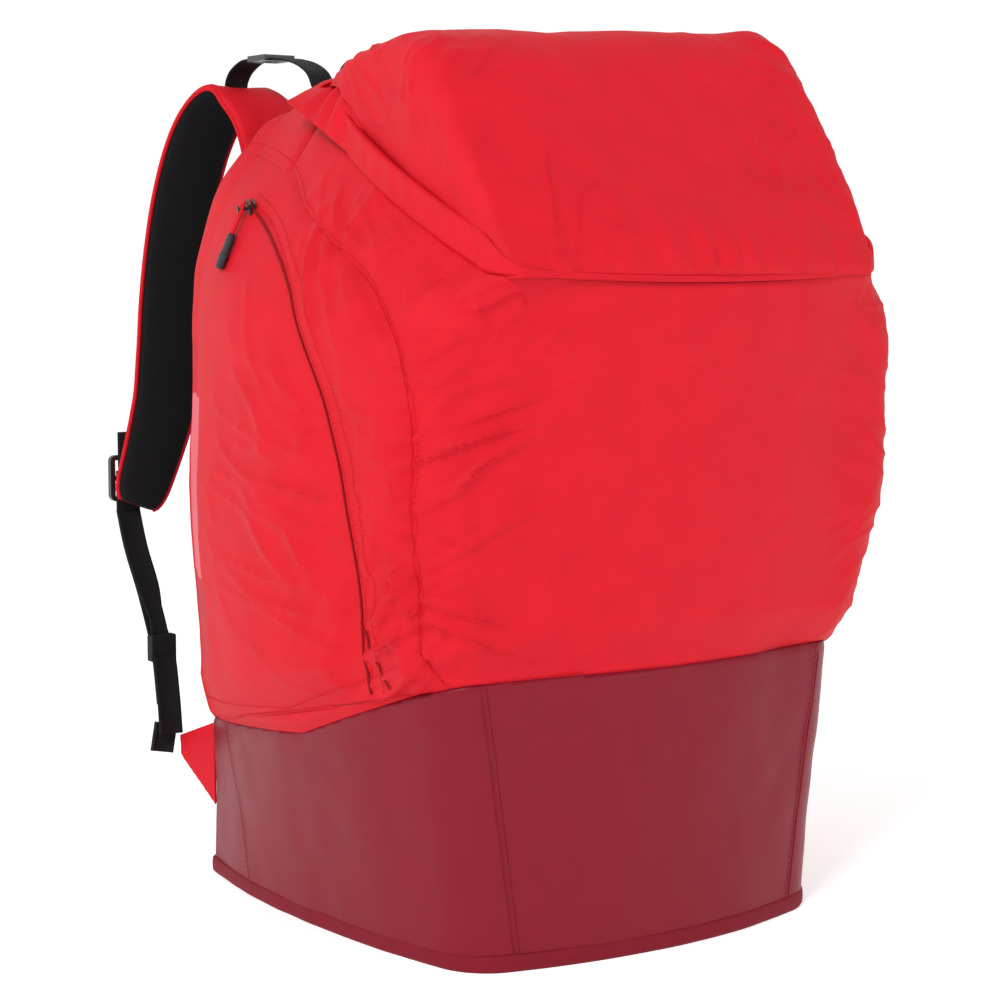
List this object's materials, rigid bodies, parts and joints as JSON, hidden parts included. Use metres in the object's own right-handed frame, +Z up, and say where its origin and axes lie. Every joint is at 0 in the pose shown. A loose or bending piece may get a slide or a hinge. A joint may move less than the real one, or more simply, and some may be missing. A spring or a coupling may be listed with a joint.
{
  "type": "ski boot bag",
  "caption": "Tall race backpack for ski boots: wedge lid over a tilted mouth zip, curved side pockets, coated base tub, padded straps and a haul handle.",
  "frame": {"origin": "middle of the underside, halfway between the sides", "axes": "+X to the viewer's right from the front, -Y out of the front, +Y out of the harness side, +Z up"},
  "size_m": [0.4372, 0.5101, 0.626],
  "materials": {
    "red_fabric": "fine plain weave, satin",
    "burgundy_fabric": "coated satin weave",
    "burgundy_binding": "ribbed binding tape",
    "back_mesh": "air mesh over foam",
    "strap_fabric": "weave over foam, black underside",
    "lining": "plain lining",
    "zip_tape": "coated zip tape",
    "webbing": "ribbed webbing",
    "red_webbing": "folded red fabric",
    "moulded_plastic": "gloss moulding",
    "zip_slider": "black lacquer",
    "pull_cord": "braided cord",
    "grip_rubber": "moulded",
    "stiffener": "sheet",
    "stay_aluminium": "mill finish"
  },
  "bodies": {
    "pack": {"base_tub": "burgundy_fabric", "bottom_panel": "burgundy_fabric", "bottom_binding": "burgundy_binding", "front_panel": "red_fabric", "yoke_panel": "red_fabric", "back_panel": "back_mesh", "frame_sheet": "stiffener", "frame_stay": "stay_aluminium", "lumbar_pad": "back_mesh", "lid_zip_body": "zip_tape", "side_panel_left": "red_fabric", "pocket_zip_body_left": "zip_tape", "pocket_liner_left": "lining", "back_pad_left": "back_mesh", "strap_yoke_left": "strap_fabric", "lower_web_left": "webbing", "web_tail_left": "webbing", "web_keeper_left": "webbing", "anchor_tab_left": "red_webbing", "lifter_web_left": "webbing", "side_panel_right": "red_fabric", "pocket_zip_body_right": "zip_tape", "pocket_liner_right": "lining", "back_pad_right": "back_mesh", "strap_yoke_right": "strap_fabric", "lower_web_right": "webbing", "web_tail_right": "webbing", "web_keeper_right": "webbing", "anchor_tab_right": "red_webbing", "lifter_web_right": "webbing"},
    "lid": {"lid_panel": "red_fabric", "storm_flap": "red_fabric", "lid_zip_lid": "zip_tape"},
    "lid_slider": {"lid_slider": "zip_slider", "lid_pull": "zip_slider"},
    "haul_handle": {"haul_handle": "webbing"},
    "pocket_mouth_left": {"pocket_flap_left": "red_fabric", "pocket_zip_flap_left": "zip_tape"},
    "pocket_slider_left": {"pocket_slider_left": "zip_slider"},
    "pocket_pull_left": {"pull_cord_left": "pull_cord", "pull_grip_left": "grip_rubber"},
    "strap_left": {"strap_pad_left": "strap_fabric", "strap_loops_left": "webbing"},
    "ladder_lock_left": {"ladder_lock_left": "moulded_plastic"},
    "lifter_lock_left": {"lifter_lock_left": "moulded_plastic"},
    "sternum_left": {"sternum_web_left": "webbing", "buckle_socket": "moulded_plastic"},
    "pocket_mouth_right": {"pocket_flap_right": "red_fabric", "pocket_zip_flap_right": "zip_tape"},
    "pocket_slider_right": {"pocket_slider_right": "zip_slider"},
    "pocket_pull_right": {"pull_cord_right": "pull_cord", "pull_grip_right": "grip_rubber"},
    "strap_right": {"strap_pad_right": "strap_fabric", "strap_loops_right": "webbing"},
    "ladder_lock_right": {"ladder_lock_right": "moulded_plastic"},
    "lifter_lock_right": {"lifter_lock_right": "moulded_plastic"},
    "sternum_right": {"sternum_web_right": "webbing", "buckle_prong": "moulded_plastic"}
  },
  "joints": [
    {"name": "lid_hinge", "type": "hinge", "parent": "pack", "child": "lid", "pos_m": [0, 0.032, 0.584], "axis": [-1, 0, 0], "range_deg": [0, 110]},
    {"name": "lid_slider_run", "type": "hinge", "parent": "pack", "child": "lid_slider", "pos_m": [-0.35141, -0.13187, 0.49695], "axis": [0, 0.4164, -0.9092], "range_deg": [0, 21.1]},
    {"name": "haul_handle_swing", "type": "hinge", "parent": "pack", "child": "haul_handle", "pos_m": [0, 0.095, 0.593], "axis": [1, 0, 0], "range_deg": [-60, 60]},
    {"name": "pocket_mouth_fold_left", "type": "hinge", "parent": "pack", "child": "pocket_mouth_left", "pos_m": [-0.21695, -0.09376, 0.20758], "axis": [-0.0055, -0.4692, -0.8831], "range_deg": [0, 45]},
    {"name": "pocket_slider_run_left", "type": "hinge", "parent": "pack", "child": "pocket_slider_left", "pos_m": [-0.1233, 0.09793, 0.27946], "axis": [0.9218, -0.3447, 0.1774], "range_deg": [0, 95.1]},
    {"name": "pocket_pull_swivel_left", "type": "hinge", "parent": "pocket_slider_left", "child": "pocket_pull_left", "pos_m": [-0.18959, 0.05326, 0.49828], "axis": [0.9218, -0.3447, 0.1774], "range_deg": [-96, 6]},
    {"name": "strap_swing_left", "type": "hinge", "parent": "pack", "child": "strap_left", "pos_m": [-0.106, 0.214, 0.592], "axis": [1, 0, 0], "range_deg": [0, 30]},
    {"name": "ladder_lock_tilt_left", "type": "hinge", "parent": "strap_left", "child": "ladder_lock_left", "pos_m": [-0.178, 0.2601, 0.312], "axis": [1, 0, 0], "range_deg": [0, 45]},
    {"name": "lifter_lock_tilt_left", "type": "hinge", "parent": "pack", "child": "lifter_lock_left", "pos_m": [-0.093, 0.191, 0.616], "axis": [-1, 0, 0], "range_deg": [0, 35]},
    {"name": "sternum_swing_left", "type": "hinge", "parent": "strap_left", "child": "sternum_left", "pos_m": [-0.128, 0.2639, 0.444], "axis": [0, 1, 0], "range_deg": [-50, 50]},
    {"name": "pocket_mouth_fold_right", "type": "hinge", "parent": "pack", "child": "pocket_mouth_right", "pos_m": [0.21695, -0.09376, 0.20758], "axis": [-0.0055, 0.4692, 0.8831], "range_deg": [0, 45]},
    {"name": "pocket_slider_run_right", "type": "hinge", "parent": "pack", "child": "pocket_slider_right", "pos_m": [0.1233, 0.09793, 0.27946], "axis": [0.9218, 0.3447, -0.1774], "range_deg": [0, 95.1]},
    {"name": "pocket_pull_swivel_right", "type": "hinge", "parent": "pocket_slider_right", "child": "pocket_pull_right", "pos_m": [0.18959, 0.05326, 0.49828], "axis": [0.9218, 0.3447, -0.1774], "range_deg": [-96, 6]},
    {"name": "strap_swing_right", "type": "hinge", "parent": "pack", "child": "strap_right", "pos_m": [0.106, 0.214, 0.592], "axis": [1, 0, 0], "range_deg": [0, 30]},
    {"name": "ladder_lock_tilt_right", "type": "hinge", "parent": "strap_right", "child": "ladder_lock_right", "pos_m": [0.178, 0.2601, 0.312], "axis": [1, 0, 0], "range_deg": [0, 45]},
    {"name": "lifter_lock_tilt_right", "type": "hinge", "parent": "pack", "child": "lifter_lock_right", "pos_m": [0.093, 0.191, 0.616], "axis": [-1, 0, 0], "range_deg": [0, 35]},
    {"name": "sternum_swing_right", "type": "hinge", "parent": "strap_right", "child": "sternum_right", "pos_m": [0.128, 0.2639, 0.444], "axis": [0, 1, 0], "range_deg": [-50, 50]}
  ],
  "couplings": [
    {"joint": "pocket_pull_swivel_left", "follows": "pocket_slider_run_left", "ratio": -1},
    {"joint": "pocket_pull_swivel_right", "follows": "pocket_slider_run_right", "ratio": -1}
  ]
}
